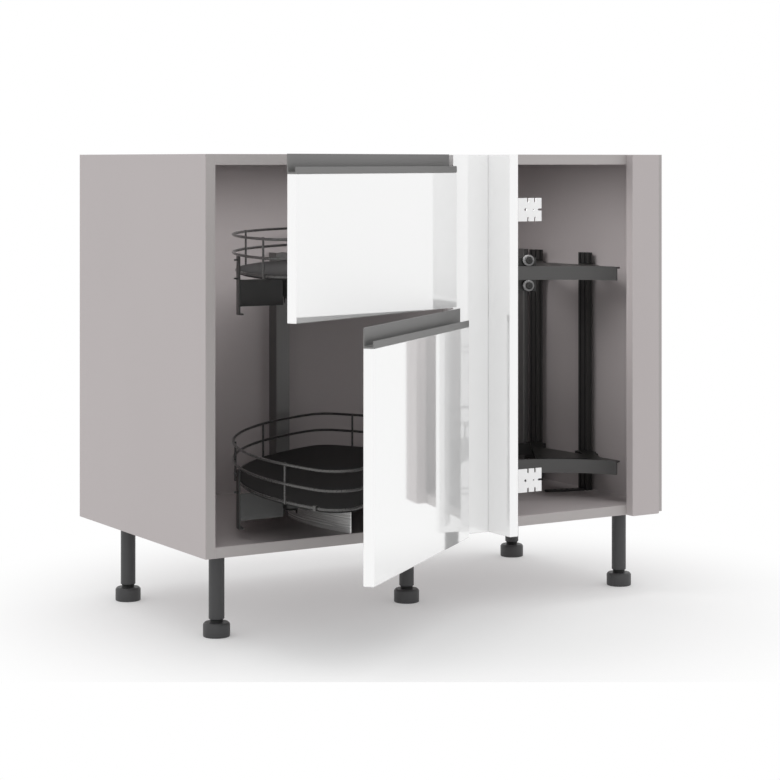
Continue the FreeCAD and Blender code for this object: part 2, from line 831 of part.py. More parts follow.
# ---- curved rails and their plates ----
def curved_rail(top):
    r0 = RAIL_R - RAIL_T / 2
    r1 = RAIL_R + RAIL_T / 2
    rail = sector(PIVOT, r0, r1, RAIL_FROM, RAIL_TO, top - RAIL_H, top)
    z0 = top - (RAIL_H + LUG_H) / 2
    lug = block(STILE_X, STILE_X + LUG_W, BOARD, BOARD + LUG_L, z0, z0 + LUG_H)
    disc = Part.makeCylinder(RAIL_R, LUG_H + 2 * PAST, V(PIVOT_X, PIVOT_Y, z0 - PAST))
    return fuse([rail, lug.common(disc)])


def post_box(x, y, w, d, z0, z1):
    return block(x, x + w, y, y + d, z0, z1)


def posts_as_tools(z0, z1):
    return [
        post_box(FRONT_POST_X, FRONT_POST_Y, POST_W, POST_D, z0, z1),
        post_box(REAR_POST_X, REAR_POST_Y, POST_W, POST_D, z0, z1),
    ]


def rail_plate(top):
    z1 = top - PLATE_BELOW_RAIL
    z0 = z1 - PLATE_SHEET
    r = RAIL_R + RAIL_T / 2 + SEAT_GAP
    start = polar(PIVOT, r, RAIL_FROM)
    front = V(WIDTH - PLATE_FRONT_RIGHT, PLATE_FRONT_Y, 0)
    back = V(WIDTH - PLATE_BACK_RIGHT, PLATE_BACK_Y, 0)
    left = V(WIDTH - PLATE_LEFT_RIGHT, PLATE_LEFT_Y, 0)
    inner_end = polar(PIVOT, PLATE_INNER_R, PLATE_INNER_TO)
    step = polar(PIVOT, PLATE_INNER_R, PLATE_JOIN_TO)
    edges = [
        arc(PIVOT, r, PLATE_JOIN_TO, RAIL_FROM),
        line(start, front),
        line(front, back),
        line(back, left),
        line(left, inner_end),
        arc(PIVOT, PLATE_INNER_R, PLATE_INNER_TO, PLATE_JOIN_TO),
        line(step, polar(PIVOT, r, PLATE_JOIN_TO)),
    ]
    sheet = prism(edges, z0, z1)
    front_mid = V(FRONT_POST_X + POST_W / 2, FRONT_POST_Y + POST_D / 2, 0)
    rear_mid = V(REAR_POST_X + POST_W / 2, REAR_POST_Y + POST_D / 2, 0)
    strap = strip(V(WIDTH - STRAP_RIGHT, STRAP_Y, 0), front_mid, STRAP_W, z0, z1)
    inboard = V((back.x + left.x) / 2, (back.y + left.y) / 2, 0)
    root = inboard - (rear_mid - inboard) * ARM_LAP
    arm = strip(root, rear_mid, STRAP_W, z0, z1)
    return cut(fuse([sheet, strap, arm]), posts_as_tools(z0 - PAST, z1 + PAST))


def clamp(x, y, w, d, z0, z1):
    t = CLAMP_WALL
    outer = block(x - t, x + w + t, y - t, y + d + t, z0, z1)
    edges = [e for e in outer.Edges if abs(e.tangentAt(0).z) > 0.9]
    outer = outer.makeFillet(CLAMP_ROUND, edges)
    return outer.cut(block(x, x + w, y, y + d, z0 - PAST, z1 + PAST))


def make_rails():
    for level in LEVELS:
        top = RAIL_TOP + LIFT[level]
        export(level + "_curved_rail", curved_rail(top))
        export(level + "_rail_plate", rail_plate(top))
        under = top - PLATE_BELOW_RAIL - PLATE_SHEET
        front_z = under - FRONT_CLAMP_H
        ring_a = clamp(FRONT_POST_X, FRONT_POST_Y, POST_W, POST_D, front_z, under)
        ring_b = clamp(REAR_POST_X, REAR_POST_Y, POST_W, POST_D, under - CLAMP_H, under)
        export(level + "_post_clamps", ring_a, ring_b)


# ---- posts ----
def grooved_post(x, y, z0, z1):
    cx = x + POST_W / 2
    cy = y + POST_D / 2
    w = POST_W / 2
    d = POST_D / 2
    s = POST_SLOT / 2
    t = POST_WALL
    outer = block(x, x + POST_W, y, y + POST_D, z0, z1)
    tools = []
    for side in (-1, 1):
        face = cx + side * w
        bottom = cx + side * (w - t)
        for offset in (-d / 2, d / 2):
            low = min(face, bottom)
            high = max(face, bottom)
            tools.append(block(low, high, cy + offset - s, cy + offset + s, z0, z1))
    for side in (-1, 1):
        face = cy + side * d
        bottom = cy + side * (d - t)
        low = min(face, bottom)
        high = max(face, bottom)
        tools.append(block(cx - s, cx + s, low, high, z0, z1))
    return cut(outer, tools)


def channel_post(x, w, y, z0, z1):
    d = WALL_Y - y
    t = BEAM_WALL
    points = [
        (x, y),
        (x + w, y),
        (x + w, y + d),
        (x + w - t, y + d),
        (x + w - t, y + t),
        (x + t, y + t),
        (x + t, y + d),
        (x, y + d),
    ]
    return prism_points(points, z0, z1)


def foot_strip(x, y):
    z0 = BOARD
    z1 = BOARD + FOOT_STRIP_T
    mid = V(x, y + POST_D / 2, 0)
    end = mid + V(-FOOT_STRIP_OUT, FOOT_STRIP_BACK, 0)
    bar = strip(mid, end, FOOT_STRIP_W, z0, z1)
    holes = []
    for i in range(FOOT_HOLE_COUNT):
        spot = mid + (end - mid) * (FOOT_HOLE_FROM + FOOT_HOLE_STEP * i)
        foot = V(spot.x, spot.y, z0 - PAST)
        holes.append(Part.makeCylinder(FOOT_HOLE_R, FOOT_STRIP_T + 2 * PAST, foot))
    tip = Part.makeCylinder(FOOT_STRIP_W / 2, FOOT_STRIP_T, V(end.x, end.y, z0))
    under_post = block(x, x + FOOT_STRIP_OUT, y - POST_D, y + 2 * POST_D, z0 - PAST, z1 + PAST)
    return cut(fuse([bar, tip]), holes + [under_post])


def make_posts():
    z0 = BOARD
    export("front_rail_post", grooved_post(FRONT_POST_X, FRONT_POST_Y, z0, POST_TOP))
    export("rear_rail_post", grooved_post(REAR_POST_X, REAR_POST_Y, z0, POST_TOP))
    plate = block(REAR_POST_X, REAR_POST_X + POST_W, PLATE_POST_Y, PLATE_POST_Y + POST_D,
                  z0, POST_TOP)
    edges = [e for e in plate.Edges if abs(e.tangentAt(0).z) > 0.9]
    export("rear_plate_post", plate.makeFillet(PLATE_POST_ROUND, edges))
    export("beam_post", channel_post(BEAM_POST_X, BEAM_POST_W, BEAM_POST_Y, z0, POST_TOP))
    export("post_feet", foot_strip(FRONT_POST_X, FRONT_POST_Y),
           foot_strip(REAR_POST_X, REAR_POST_Y))


# ---- outboard supports ----
def guide_angle():
    return angle_of(PIVOT, V(GUIDE_X, GUIDE_Y, 0))


def rim_guide(top):
    r0 = TRAY_R + BASKET_OUT + RAIL_WIRE_R + GUIDE_OUT - GUIDE_T
    r1 = r0 + GUIDE_T
    a = guide_angle()
    half = degrees(GUIDE_W / 2 / r0)
    tab = half / GUIDE_TABS_PER_W
    z0 = top - GUIDE_BELOW_RAIL
    z1 = top + GUIDE_OVER_RAIL
    shapes = [sector(PIVOT, r0, r1, a - half, a + half, z0, z1)]
    for i in (0, 1):
        z = z1 - GUIDE_TAB_DOWN - i * GUIDE_TAB_PITCH
        reach = r1 + GUIDE_TAB_L
        shapes.append(sector(PIVOT, r1 - PAST, reach, a - tab, a + tab, z - GUIDE_TAB_H, z))
    shapes.append(sector(PIVOT, r0 - GUIDE_HOOK, r1, a - half, a + half, z0 - GUIDE_T, z0))
    return fuse(shapes)


def cross_plate(top):
    z1 = top - CROSS_TOP_DROP
    z0 = z1 - CROSS_H
    r1 = TRAY_R + BASKET_OUT + RAIL_WIRE_R + GUIDE_OUT - GUIDE_T - SEAT_GAP
    y0 = CROSS_Y - CROSS_T / 2
    web = block(BOARD, HUB_X, y0, y0 + CROSS_T, z0, z1)
    disc = Part.makeCylinder(r1, CROSS_H + 2 * PAST, V(PIVOT_X, PIVOT_Y, z0 - PAST))
    lip = block(BOARD, HUB_X, y0, CROSS_Y + CROSS_LIP, z0, z0 + CROSS_T)
    web = fuse([web, lip]).common(disc)
    bore = HUB_R + SEAT_GAP
    return web.cut(Part.makeCylinder(bore, CROSS_H + 2 * PAST, V(HUB_X, CROSS_Y, z0 - PAST)))


def hub(top):
    glide_top = top + TRAY_OVER_RAIL - GLIDE_CLEAR
    points = [
        (0, top - HUB_BELOW),
        (HUB_R - HUB_CHAMFER, top - HUB_BELOW),
        (HUB_R, top - HUB_BELOW + HUB_CHAMFER),
        (HUB_R, glide_top - GLIDE_T),
        (GLIDE_R, glide_top - GLIDE_T),
        (GLIDE_R - GLIDE_CHAMFER, glide_top),
        (0, glide_top),
    ]
    return turned(points, HUB_X, CROSS_Y, 0)


def carrier_beam(top):
    z1 = top - BEAM_DROP
    z0 = z1 - BEAM_H
    p = V(HUB_X, CROSS_Y, 0)
    q = V(BEAM_POST_X + BEAM_POST_W / 2, BEAM_POST_Y + BEAM_OVERRUN, 0)
    outer = strip(p, q, BEAM_W, z0, z1)
    core = p - V(CORE_PAST_X, CORE_PAST_Y, 0)
    inner = strip(core, q, BEAM_W - 2 * BEAM_WALL, z0 - PAST, z1 - BEAM_WALL)
    wall = block(0, WIDTH, BEAM_POST_Y, DEPTH, z0 - PAST, z1 + PAST)
    bar = outer.cut(inner).cut(wall)
    bore = HUB_R + SEAT_GAP
    return bar.cut(Part.makeCylinder(bore, BEAM_H + 2 * PAST, V(HUB_X, CROSS_Y, z0 - PAST)))


def rear_tie(top):
    z1 = top - PLATE_BELOW_RAIL - PLATE_SHEET
    z0 = z1 - TIE_H
    p = V(REAR_POST_X - CLAMP_WALL, REAR_POST_Y + POST_D / 2, 0)
    q = V(BEAM_POST_X + BEAM_POST_W, BEAM_POST_Y + TIE_IN, 0)
    along = q - p
    along.normalize()
    bar = strip(p - along * TIE_OVERRUN, q + along * TIE_OVERRUN, TIE_T, z0, z1)
    keep = block(BEAM_POST_X + BEAM_POST_W, REAR_POST_X - CLAMP_WALL, 0, DEPTH, z0 - PAST, z1 + PAST)
    return bar.common(keep)


def front_band():
    chord = hypot(BAND_X1 - BAND_X0, BAND_Y1 - BAND_Y0)
    r = (chord ** 2 / 4 + BAND_BOW ** 2) / (2 * BAND_BOW)
    mid = V((BAND_X0 + BAND_X1) / 2, (BAND_Y0 + BAND_Y1) / 2, 0)
    along = V(BAND_X1 - BAND_X0, BAND_Y1 - BAND_Y0, 0)
    along.normalize()
    side = V(-along.y, along.x, 0)
    centre = mid + side * (r - BAND_BOW)
    half = degrees(asin(chord / 2 / r))
    out = degrees(atan2(-side.y, -side.x))
    low = out - half
    band = sector(centre, r - BAND_T / 2, r + BAND_T / 2, low, out + half, BOARD, BAND_TOP)
    under = RAIL_TOP - BEAM_DROP - BEAM_H
    p = V(HUB_X, CROSS_Y, 0)
    q = V(BEAM_POST_X + BEAM_POST_W / 2, BEAM_POST_Y, 0)
    return band.cut(strip(p, q, BEAM_W + 2 * SEAT_GAP, under, HEIGHT))


def make_supports():
    for level in LEVELS:
        top = RAIL_TOP + LIFT[level]
        export(level + "_rim_guide", rim_guide(top))
        export(level + "_cross_plate", cross_plate(top))
        export(level + "_glide_hub", hub(top))
        export(level + "_carrier_beam", carrier_beam(top))
        export(level + "_rear_tie", rear_tie(top))
    export("front_guide_band", front_band())


make_carcass()
make_fillers()
make_legs()
make_doors()
make_trays()
make_rails()
make_posts()
make_supports()
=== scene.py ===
import math
import bmesh
import bpy
from mathutils import Matrix, Vector


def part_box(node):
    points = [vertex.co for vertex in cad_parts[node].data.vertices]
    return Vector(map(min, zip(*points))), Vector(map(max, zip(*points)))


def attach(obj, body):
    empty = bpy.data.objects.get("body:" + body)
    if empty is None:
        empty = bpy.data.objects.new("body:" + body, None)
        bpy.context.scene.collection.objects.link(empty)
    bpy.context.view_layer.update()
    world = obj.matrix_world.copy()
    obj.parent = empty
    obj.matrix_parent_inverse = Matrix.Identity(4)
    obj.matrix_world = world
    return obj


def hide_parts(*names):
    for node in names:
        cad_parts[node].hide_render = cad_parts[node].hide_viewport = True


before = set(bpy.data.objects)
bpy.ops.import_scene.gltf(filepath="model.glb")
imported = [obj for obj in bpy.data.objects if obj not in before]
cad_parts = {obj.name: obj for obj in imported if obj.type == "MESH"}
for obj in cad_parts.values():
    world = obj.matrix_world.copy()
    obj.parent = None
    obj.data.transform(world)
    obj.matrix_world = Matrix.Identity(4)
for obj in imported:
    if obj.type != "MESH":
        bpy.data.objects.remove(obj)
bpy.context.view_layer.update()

# ---- Camera ----
# A long lens stands ahead of the cabinet's left, level with the worktop, and looks
# horizontally; the shift brings the cabinet to the middle of the square frame.
CAMERA_PLACE = Vector((-2.1914, -3.5092, 0.838))
CAMERA_HEADING = Vector((0.5232, 0.8522, 0.0))
LENS_MM = 100.38
SENSOR_MM = 36.0
SHIFT_DOWN = -0.2937
CLIP_END = 60.0

camera = bpy.data.objects.new("camera", bpy.data.cameras.new("camera"))
bpy.context.scene.collection.objects.link(camera)
camera.location = CAMERA_PLACE
camera.rotation_euler = CAMERA_HEADING.to_track_quat("-Z", "Y").to_euler()
camera.data.lens = LENS_MM
camera.data.sensor_width = SENSOR_MM
camera.data.shift_y = SHIFT_DOWN
camera.data.clip_end = CLIP_END
bpy.context.scene.camera = camera
bpy.context.scene.view_settings.view_transform = "Standard"


# ---- Studio ----
# An even white dome lights the cabinet from all round, with one large soft lamp high
# on the left. Two flat lamps under the top panel light the bays, which the photographed
# cabinet has brighter at the top than at the bottom.
PURE_WHITE = (1.0, 1.0, 1.0, 1.0)
DOME_STRENGTH = 0.97
BACKDROP_STRENGTH = 1.0
LAMP_PLACE = Vector((-3.2, -1.6, 3.4))
LAMP_TARGET = Vector((0.0, 0.1, 0.4))
LAMP_SIZE = 2.6
LAMP_WATTS = 6.0


def tree(owner):
    owner.use_nodes = True
    owner.node_tree.nodes.clear()
    return owner.node_tree.nodes, owner.node_tree.links


world = bpy.data.worlds.new("light tent")
bpy.context.scene.world = world
nodes, links = tree(world)
dome = nodes.new("ShaderNodeBackground")
dome.inputs["Color"].default_value = PURE_WHITE
dome.inputs["Strength"].default_value = DOME_STRENGTH
backdrop = nodes.new("ShaderNodeBackground")
backdrop.inputs["Color"].default_value = PURE_WHITE
backdrop.inputs["Strength"].default_value = BACKDROP_STRENGTH
path = nodes.new("ShaderNodeLightPath")
seen = nodes.new("ShaderNodeMath")
seen.operation = "MAXIMUM"
links.new(path.outputs["Is Camera Ray"], seen.inputs[0])
links.new(path.outputs["Is Glossy Ray"], seen.inputs[1])
pick = nodes.new("ShaderNodeMixShader")
links.new(seen.outputs[0], pick.inputs[0])
links.new(dome.outputs[0], pick.inputs[1])
links.new(backdrop.outputs[0], pick.inputs[2])
world_out = nodes.new("ShaderNodeOutputWorld")
links.new(pick.outputs[0], world_out.inputs["Surface"])


def area_lamp(name, place, target, size_x, size_y, watts):
    lamp = bpy.data.objects.new(name, bpy.data.lights.new(name, "AREA"))
    bpy.context.scene.collection.objects.link(lamp)
    lamp.data.shape = "RECTANGLE"
    lamp.data.size = size_x
    lamp.data.size_y = size_y
    lamp.data.energy = watts
    lamp.location = place
    lamp.rotation_euler = (target - place).to_track_quat("-Z", "Y").to_euler()
    return lamp


area_lamp("soft lamp", LAMP_PLACE, LAMP_TARGET, LAMP_SIZE, LAMP_SIZE, LAMP_WATTS)
BAY_LAMP_Y = 0.01
BAY_LAMP_Z = 0.828
BAY_LAMP_DEEP = 0.28
BAY_LAMPS = (("left", -0.24, 0.42, 1.95), ("right", 0.14, 0.16, 1.15))
for side, x, width, watts in BAY_LAMPS:
    above = Vector((x, BAY_LAMP_Y, BAY_LAMP_Z))
    below = above - Vector((0, 0, 1))
    bay_lamp = area_lamp(side + " bay lamp", above, below, width, BAY_LAMP_DEEP, watts)
    bay_lamp.visible_camera = False
    bay_lamp.visible_glossy = False


# ---- Floor ----
# A pale sheet lies under the cabinet and fades into the white backdrop behind it. Its
# near edge runs square to the camera, where the photographed floor ends.
FLOOR_NEAR = 3.498
FLOOR_FAR = 14.0
FLOOR_HALF = 7.0
FLOOR_COLOUR = (0.93, 0.93, 0.93, 1.0)
FADE_START = 0.45
FADE_END = 0.95
FADE_LEAST = 0.22
FLOOR_DROP = 0.0002

across = Vector((CAMERA_HEADING.y, -CAMERA_HEADING.x, 0.0))
under = Vector((CAMERA_PLACE.x, CAMERA_PLACE.y, -FLOOR_DROP))
sheet = bpy.data.meshes.new("floor")
sheet.from_pydata(
    [
        under + CAMERA_HEADING * FLOOR_NEAR - across * FLOOR_HALF,
        under + CAMERA_HEADING * FLOOR_NEAR + across * FLOOR_HALF,
        under + CAMERA_HEADING * FLOOR_FAR + across * FLOOR_HALF,
        under + CAMERA_HEADING * FLOOR_FAR - across * FLOOR_HALF,
    ],
    [],
    [(0, 1, 2, 3)],
)
floor = bpy.data.objects.new("floor", sheet)
bpy.context.scene.collection.objects.link(floor)
floor_paint = bpy.data.materials.new("pale floor")
nodes, links = tree(floor_paint)
matt = nodes.new("ShaderNodeBsdfDiffuse")
matt.inputs["Color"].default_value = FLOOR_COLOUR
glow = nodes.new("ShaderNodeEmission")
glow.inputs["Color"].default_value = PURE_WHITE
where = nodes.new("ShaderNodeTexCoord")
reach = nodes.new("ShaderNodeVectorMath")
reach.operation = "LENGTH"
links.new(where.outputs["Object"], reach.inputs[0])
fade = nodes.new("ShaderNodeMapRange")
fade.interpolation_type = "SMOOTHSTEP"
fade.inputs["From Min"].default_value = FADE_START
fade.inputs["From Max"].default_value = FADE_END
fade.inputs["To Min"].default_value = FADE_LEAST
links.new(reach.outputs["Value"], fade.inputs["Value"])
blend = nodes.new("ShaderNodeMixShader")
links.new(fade.outputs["Result"], blend.inputs[0])
links.new(matt.outputs[0], blend.inputs[1])
links.new(glow.outputs[0], blend.inputs[2])
floor_out = nodes.new("ShaderNodeOutputMaterial")
links.new(blend.outputs[0], floor_out.inputs["Surface"])
sheet.materials.append(floor_paint)


# ---- Carcass boards ----
# Side, bottom, top and back panels, the hinge stile and the end filler are chipboard
# faced with taupe melamine, with a fine pressed texture. The edges carry a thin band.
TAUPE = (0.447, 0.411, 0.411, 1.0)
BOARD_ROUGH = 0.55
ROUGH_SPREAD = 0.08
BOARD_FLECK = 0.05
BOARD_EASE = 0.0005
EASE_ABOVE = 50
SPECKLE_DETAIL = 3.0
SPECKLE_BUMP = 0.0002
CLOUD_SCALE = 3.0


def speckle_group():
    group = bpy.data.node_groups.new("pressed speckle", "ShaderNodeTree")
    for name, kind in (("Colour", "NodeSocketColor"), ("Amount", "NodeSocketFloat"),
                       ("Grain", "NodeSocketFloat"), ("Depth", "NodeSocketFloat")):
        group.interface.new_socket(name, in_out="INPUT", socket_type=kind)
    for name, kind in (("Colour", "NodeSocketColor"), ("Mask", "NodeSocketFloat"),
                       ("Normal", "NodeSocketVector")):
        group.interface.new_socket(name, in_out="OUTPUT", socket_type=kind)
    source = group.nodes.new("NodeGroupInput")
    result = group.nodes.new("NodeGroupOutput")
    place = group.nodes.new("ShaderNodeTexCoord")
    noise = group.nodes.new("ShaderNodeTexNoise")
    noise.inputs["Detail"].default_value = SPECKLE_DETAIL
    cloud = group.nodes.new("ShaderNodeTexNoise")
    cloud.inputs["Scale"].default_value = CLOUD_SCALE
    group.links.new(place.outputs["Object"], noise.inputs["Vector"])
    group.links.new(place.outputs["Object"], cloud.inputs["Vector"])
    group.links.new(source.outputs["Grain"], noise.inputs["Scale"])
    both = group.nodes.new("ShaderNodeMath")
    both.operation = "ADD"
    group.links.new(noise.outputs["Fac"], both.inputs[0])
    group.links.new(cloud.outputs["Fac"], both.inputs[1])
    centred = group.nodes.new("ShaderNodeMath")
    centred.operation = "SUBTRACT"
    centred.inputs[1].default_value = 1.0
    group.links.new(both.outputs[0], centred.inputs[0])
    scaled = group.nodes.new("ShaderNodeMath")
    scaled.operation = "MULTIPLY_ADD"
    scaled.inputs[2].default_value = 1.0
    group.links.new(centred.outputs[0], scaled.inputs[0])
    group.links.new(source.outputs["Amount"], scaled.inputs[1])
    tint = group.nodes.new("ShaderNodeVectorMath")
    tint.operation = "SCALE"
    group.links.new(source.outputs["Colour"], tint.inputs[0])
    group.links.new(scaled.outputs[0], tint.inputs["Scale"])
    bump = group.nodes.new("ShaderNodeBump")
    bump.inputs["Distance"].default_value = SPECKLE_BUMP
    group.links.new(noise.outputs["Fac"], bump.inputs["Height"])
    group.links.new(source.outputs["Depth"], bump.inputs["Strength"])
    group.links.new(tint.outputs[0], result.inputs["Colour"])
    group.links.new(noise.outputs["Fac"], result.inputs["Mask"])
    group.links.new(bump.outputs[0], result.inputs["Normal"])
    return group


speckle = speckle_group()


def painted(name, group, values, rough_low, rough_high, metallic):
    material = bpy.data.materials.new(name)
    nodes, links = tree(material)
    shader = nodes.new("ShaderNodeBsdfPrincipled")
    out = nodes.new("ShaderNodeOutputMaterial")
    links.new(shader.outputs[0], out.inputs["Surface"])
    shader.inputs["Metallic"].default_value = metallic
    texture = nodes.new("ShaderNodeGroup")
    texture.node_tree = group
    for socket, value in values.items():
        texture.inputs[socket].default_value = value
    links.new(texture.outputs["Colour"], shader.inputs["Base Color"])
    links.new(texture.outputs["Normal"], shader.inputs["Normal"])
    rough = nodes.new("ShaderNodeMapRange")
    rough.inputs["To Min"].default_value = rough_low
    rough.inputs["To Max"].default_value = rough_high
    links.new(texture.outputs["Mask"], rough.inputs["Value"])
    links.new(rough.outputs["Result"], shader.inputs["Roughness"])
    return material, shader


def speckled(name, colour, amount, grain, depth, rough_low, rough_high, metallic=0.0,
             specular=0.5, coat=0.0, coat_rough=0.03):
    values = {"Colour": colour, "Amount": amount, "Grain": grain, "Depth": depth}
    material, shader = painted(name, speckle, values, rough_low, rough_high, metallic)
    shader.inputs["Specular IOR Level"].default_value = specular
    shader.inputs["Coat Weight"].default_value = coat
    shader.inputs["Coat Roughness"].default_value = coat_rough
    return material


def dress(names, material):
    for name in names:
        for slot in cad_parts[name].material_slots:
            slot.material = material


def ease(names, width):
    for name in names:
        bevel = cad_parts[name].modifiers.new("eased edge", "BEVEL")
        bevel.width = width
        bevel.segments = 2
        bevel.limit_method = "ANGLE"
        bevel.angle_limit = math.radians(EASE_ABOVE)


melamine = speckled(
    "taupe melamine", TAUPE, amount=BOARD_FLECK, grain=900.0, depth=0.25,
    rough_low=BOARD_ROUGH - ROUGH_SPREAD, rough_high=BOARD_ROUGH + ROUGH_SPREAD,
    specular=0.4)
boards = ["left_side_panel", "right_side_panel", "bottom_panel", "top_panel",
          "back_panel", "centre_stile", "end_filler"]
dress(boards, melamine)
ease(["left_side_panel", "right_side_panel", "bottom_panel", "top_panel"], BOARD_EASE)


# ---- Edge bands ----
# A 0.4 mm plastic band is ironed on each front edge of the carcass and stops just short of the
# board's arrises.
# Its colour, a shade darker than the faces, is painted shade for the occlusion the open doors
# cast on those edges.
# Darker taupe: painted shade on the carcass front edges, not a different band colour.
BAND_SHADED_TAUPE = (0.4, 0.376, 0.37, 1.0)
BAND_T = 0.0004
BAND_SHY = 0.0009
BAND_SINK = 0.0002
BAND_EASE = BAND_T / 3

shaded_band_paint = speckled(
    "taupe edge band", BAND_SHADED_TAUPE, amount=0.03, grain=1500.0, depth=0.15,
    rough_low=0.42, rough_high=0.55)


def slab(name, low, high, material, body, ease_by=0.0):
    mesh = bpy.data.meshes.new(name)
    form = bmesh.new()
    bmesh.ops.create_cube(form, size=1.0)
    size = high - low
    bmesh.ops.scale(form, vec=size, verts=form.verts)
    bmesh.ops.translate(form, vec=(low + high) / 2, verts=form.verts)
    if ease_by:
        bmesh.ops.bevel(form, geom=form.edges, offset=ease_by, segments=2, profile=0.5,
                        affect="EDGES")
    form.to_mesh(mesh)
    form.free()
    return piece(name, mesh, material, body)


def piece(name, mesh, material, body):
    mesh.materials.append(material)
    thing = bpy.data.objects.new(name, mesh)
    bpy.context.scene.collection.objects.link(thing)
    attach(thing, body)
    return thing


for node in ("left_side_panel", "right_side_panel", "bottom_panel", "top_panel"):
    low, high = (Vector(corner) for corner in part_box(node))
    shy = Vector((BAND_SHY, 0.0, BAND_SHY))
    front = Vector((low.x, low.y - BAND_T, low.z)) + shy
    back = Vector((high.x, low.y + BAND_SINK, high.z)) - shy
    slab("edge_band_" + node.replace("_panel", ""), front, back, shaded_band_paint, "carcass",
         BAND_EASE)


# ---- Glossy fronts ----
# Both doors and the two boards of the corner filler are white lacquer-like laminate,
# polished so that they mirror each other and the dark bay beside them.
WHITE = (0.93, 0.93, 0.93, 1.0)
GLOSS_MIRROR = 0.52
GLOSS_ROUGH = 0.03
GLOSS_SPREAD = 0.02

gloss = speckled(
    "white gloss", WHITE, amount=0.006, grain=60.0, depth=0.012, rough_low=GLOSS_ROUGH,
    rough_high=GLOSS_ROUGH + GLOSS_SPREAD, metallic=GLOSS_MIRROR, coat=0.3,
    coat_rough=0.02)
fronts = ["upper_door_panel", "lower_door_panel", "corner_filler_front",
          "corner_filler_return"]
dress(fronts, gloss)


# ---- Handle profiles ----
# A J-shaped aluminium extrusion is pressed into each door's top edge and serves as its
# handle. It is anodised warm grey and shows fine drawing lines along its length.
ANODISED = (0.175, 0.173, 0.171, 1.0)
DRAWN_DETAIL = 4.0
DRAWN_BUMP = 0.0001


def drawn_group():
    group = bpy.data.node_groups.new("drawing lines", "ShaderNodeTree")
    for name, kind in (("Colour", "NodeSocketColor"), ("Amount", "NodeSocketFloat"),
                       ("Stretch", "NodeSocketVector"), ("Depth", "NodeSocketFloat")):
        group.interface.new_socket(name, in_out="INPUT", socket_type=kind)
    for name, kind in (("Colour", "NodeSocketColor"), ("Mask", "NodeSocketFloat"),
                       ("Normal", "NodeSocketVector")):
        group.interface.new_socket(name, in_out="OUTPUT", socket_type=kind)
    source = group.nodes.new("NodeGroupInput")
    result = group.nodes.new("NodeGroupOutput")
    place = group.nodes.new("ShaderNodeTexCoord")
    stretch = group.nodes.new("ShaderNodeVectorMath")
    stretch.operation = "MULTIPLY"
    group.links.new(place.outputs["Object"], stretch.inputs[0])
    group.links.new(source.outputs["Stretch"], stretch.inputs[1])
    noise = group.nodes.new("ShaderNodeTexNoise")
    noise.inputs["Scale"].default_value = 1.0
    noise.inputs["Detail"].default_value = DRAWN_DETAIL
    group.links.new(stretch.outputs[0], noise.inputs["Vector"])
    level = group.nodes.new("ShaderNodeMath")
    level.operation = "SUBTRACT"
    level.inputs[1].default_value = 0.5
    group.links.new(noise.outputs["Fac"], level.inputs[0])
    scaled = group.nodes.new("ShaderNodeMath")
    scaled.operation = "MULTIPLY_ADD"
    scaled.inputs[2].default_value = 1.0
    group.links.new(level.outputs[0], scaled.inputs[0])
    group.links.new(source.outputs["Amount"], scaled.inputs[1])
    tint = group.nodes.new("ShaderNodeVectorMath")
    tint.operation = "SCALE"
    group.links.new(source.outputs["Colour"], tint.inputs[0])
    group.links.new(scaled.outputs[0], tint.inputs["Scale"])
    bump = group.nodes.new("ShaderNodeBump")
    bump.inputs["Distance"].default_value = DRAWN_BUMP
    group.links.new(noise.outputs["Fac"], bump.inputs["Height"])
    group.links.new(source.outputs["Depth"], bump.inputs["Strength"])
    group.links.new(tint.outputs[0], result.inputs["Colour"])
    group.links.new(noise.outputs["Fac"], result.inputs["Mask"])
    group.links.new(bump.outputs[0], result.inputs["Normal"])
    return group


drawn = drawn_group()


def drawn_metal(name, colour, amount, stretch, depth, rough_low, rough_high, metallic):
    values = {"Colour": colour, "Amount": amount, "Stretch": stretch, "Depth": depth}
    return painted(name, drawn, values, rough_low, rough_high, metallic)[0]


anodised = drawn_metal(
    "grey anodised", ANODISED, amount=0.12, stretch=(6.0, 6.0, 1800.0), depth=0.15,
    rough_low=0.4, rough_high=0.5, metallic=0.1)
dress(["upper_door_handle", "lower_door_handle"], anodised)


# ---- Legs ----
# Five moulded plastic legs: a flange screwed under the bottom panel, a ribbed tube, and
# a round levelling foot whose threaded neck enters the tube.
LEG_GREY = (0.046, 0.046, 0.0475, 1.0)
LEG_SIDES = 64
SHARP_ABOVE = 32
ON_AXIS = 1e-6
TUBE_R = 0.014
TUBE_WALL = 0.002
FLANGE_R = 0.023
FLANGE_T = 0.004
FOOT_R = 0.024
FOOT_H = 0.025
NECK_SHOW = 0.006
RIBS = 24
RIB_DEPTH = 0.0002
RIB_RIM = 0.0008
TUBE_EASE = 0.0006
FLANGE_EASE = 0.001
FLANGE_LIP = 0.0002
FOOT_SOLE = ((0.0015, 0), (0.0004, 0.0005), (0, 0.002))
FOOT_BROW = ((0, 0.004), (0.0008, 0.0022), (0.003, 0))
MIDDLE_LEG = (0.0, 0.0)

leg_plastic = speckled(
    "dark grey plastic", LEG_GREY, amount=0.08, grain=1200.0, depth=0.3, rough_low=0.42,
    rough_high=0.55)


